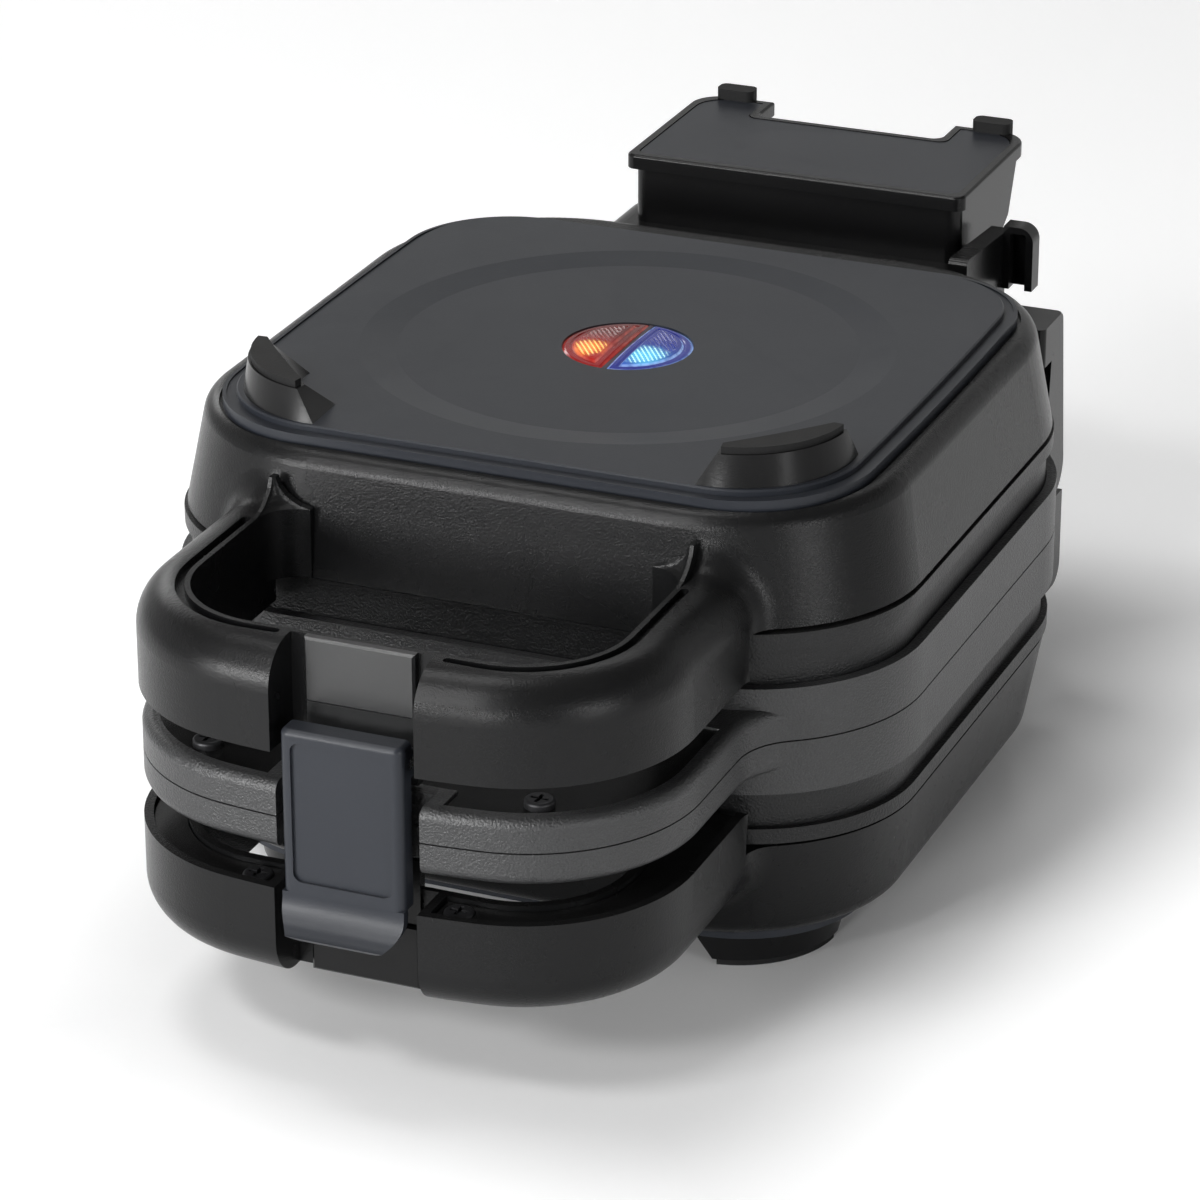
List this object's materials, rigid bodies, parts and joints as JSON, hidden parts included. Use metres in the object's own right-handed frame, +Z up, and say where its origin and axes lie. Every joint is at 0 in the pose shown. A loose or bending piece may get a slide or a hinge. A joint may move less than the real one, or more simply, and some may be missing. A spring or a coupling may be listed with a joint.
{
  "type": "electric pie maker",
  "caption": "Clamshell electric pie maker with looped front handles, a swinging front latch, a round indicator window, corner feet and a rear box on the lid.",
  "frame": {"origin": "on the worktop, at the middle of the overall box seen from above", "axes": "+Z up, -Y towards the handle and latch, +X to the right when seen from the handle"},
  "size_m": [0.202, 0.37, 0.1428],
  "materials": {
    "shell_plastic": "fine satin texture",
    "liner_plastic": "polished",
    "carrier_plastic": "coarse spark texture",
    "band_plastic": "coarse spark texture",
    "slate_plastic": "smooth matte",
    "gloss_plastic": "polished",
    "pad_rubber": "matte",
    "red_lens": "moulded prisms",
    "blue_lens": "moulded prisms",
    "lamp_glass": "clear",
    "housing_plastic": "matte",
    "plate_coating": "non-stick coating",
    "heater_steel": "satin",
    "sheet_aluminium": "bright sheet",
    "thermo_metal": "satin",
    "lead_sleeve": "woven sleeve",
    "screw_steel": "black zinc",
    "pin_steel": "ground"
  },
  "bodies": {
    "base": {"base_band": "band_plastic", "base_bottom_cover": "slate_plastic", "base_carrier": "carrier_plastic", "base_deck_plate": "liner_plastic", "base_foot_left": "gloss_plastic", "base_foot_pads": "pad_rubber", "base_foot_right": "gloss_plastic", "base_handle_liner": "liner_plastic", "base_heater": "heater_steel", "base_hinge_left": "gloss_plastic", "base_hinge_right": "gloss_plastic", "base_pie_plate": "plate_coating", "base_rear_feet": "pad_rubber", "base_reflector": "sheet_aluminium", "base_screws": "screw_steel", "base_shell": "shell_plastic", "base_stand": "gloss_plastic", "base_wiring": "lead_sleeve", "cord_gland": "pad_rubber", "hinge_pins": "pin_steel", "latch_catch": "gloss_plastic", "terminal_block": "housing_plastic", "thermostat": "thermo_metal"},
    "lid": {"lid_band": "band_plastic", "lid_carrier": "carrier_plastic", "lid_deck_plate": "liner_plastic", "lid_foot_left": "gloss_plastic", "lid_foot_pads": "pad_rubber", "lid_foot_right": "gloss_plastic", "lid_handle_liner": "liner_plastic", "lid_heater": "heater_steel", "lid_panel": "slate_plastic", "lid_pie_plate": "plate_coating", "lid_reflector": "sheet_aluminium", "lid_screws": "screw_steel", "lid_shell": "shell_plastic", "lid_wiring": "lead_sleeve", "indicator_housing": "housing_plastic", "heating_lens": "red_lens", "ready_lens": "blue_lens", "indicator_lamps": "lamp_glass", "thermal_fuse": "thermo_metal", "latch_bracket": "gloss_plastic", "latch_pin": "pin_steel", "hinge_frame": "gloss_plastic", "cord_hook": "gloss_plastic", "rear_box": "gloss_plastic", "rear_box_cover": "gloss_plastic", "rear_box_inlay": "slate_plastic", "rear_box_nubs": "pad_rubber"},
    "latch": {"latch": "slate_plastic"}
  },
  "joints": [
    {"name": "lid_hinge", "type": "hinge", "parent": "base", "child": "lid", "pos_m": [0, 0.103, 0.0714], "axis": [-1, 0, 0], "range_deg": [0, 81]},
    {"name": "latch_pivot", "type": "hinge", "parent": "lid", "child": "latch", "pos_m": [0, -0.173, 0.0908], "axis": [-1, 0, 0], "range_deg": [0, 70]}
  ]
}
